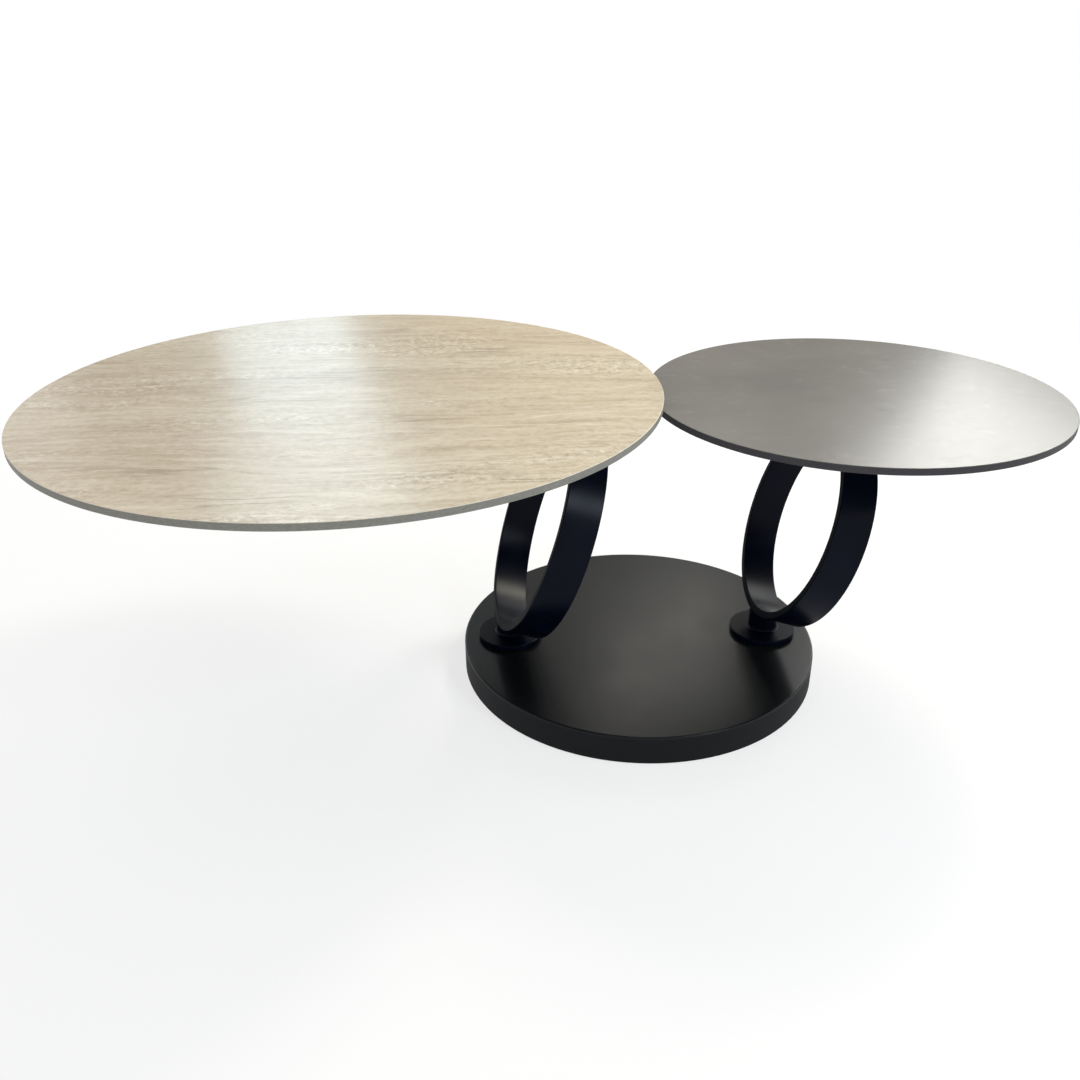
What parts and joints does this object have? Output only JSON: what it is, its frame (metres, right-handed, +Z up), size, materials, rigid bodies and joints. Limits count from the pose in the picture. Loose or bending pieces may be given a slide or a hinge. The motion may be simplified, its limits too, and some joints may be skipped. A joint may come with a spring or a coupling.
{
  "type": "swivel coffee table",
  "caption": "Swivel coffee table: a large and a small round ceramic top, each on a tilted black steel ring that turns on a round weighted base.",
  "frame": {"origin": "middle of the round base, on the floor", "axes": "+Z up; +X from the swivel axis of the large top to that of the small top; +Y to the back as pictured"},
  "size_m": [1.485, 0.8999, 0.4687],
  "materials": {
    "large_top_ceramic": "satin travertine-look ceramic, beige with fine veins",
    "small_top_ceramic": "satin concrete-look ceramic, warm grey with faint clouding",
    "black_steel": "fine matt black powder coat",
    "ballast_iron": "as cast",
    "glide_rubber": "matt",
    "bearing_plastic": "natural bearing plastic",
    "insert_brass": "turned",
    "zinc_steel": "bright zinc plated"
  },
  "bodies": {
    "base": {"base_cover": "black_steel", "bottom_plate": "black_steel", "ballast_plate": "ballast_iron", "cover_pillars": "zinc_steel", "bottom_plate_screws": "zinc_steel", "floor_glides": "glide_rubber", "large_bearing_housing": "zinc_steel", "large_housing_screws": "zinc_steel", "large_upper_bush": "bearing_plastic", "large_lower_bush": "bearing_plastic", "large_thrust_washer": "bearing_plastic", "small_bearing_housing": "zinc_steel", "small_housing_screws": "zinc_steel", "small_upper_bush": "bearing_plastic", "small_lower_bush": "bearing_plastic", "small_thrust_washer": "bearing_plastic"},
    "large_arm": {"large_swivel_flange": "black_steel", "large_spindle": "zinc_steel", "large_spindle_washer": "zinc_steel", "large_spindle_nut": "zinc_steel", "large_foot_neck": "black_steel", "large_ring": "black_steel", "large_top_neck": "black_steel", "large_mounting_plate": "black_steel", "large_plate_screws": "zinc_steel", "large_top_inserts": "insert_brass", "large_top": "large_top_ceramic"},
    "small_arm": {"small_swivel_flange": "black_steel", "small_spindle": "zinc_steel", "small_spindle_washer": "zinc_steel", "small_spindle_nut": "zinc_steel", "small_foot_neck": "black_steel", "small_ring": "black_steel", "small_top_neck": "black_steel", "small_mounting_plate": "black_steel", "small_plate_screws": "zinc_steel", "small_top_inserts": "insert_brass", "small_top": "small_top_ceramic"}
  },
  "joints": [
    {"name": "large_swivel", "type": "hinge", "parent": "base", "child": "large_arm", "pos_m": [-0.206, 0, 0.051], "axis": [0, 0, 1], "continuous": true},
    {"name": "small_swivel", "type": "hinge", "parent": "base", "child": "small_arm", "pos_m": [0.206, 0, 0.051], "axis": [0, 0, 1], "range_deg": [-75, 70]}
  ]
}
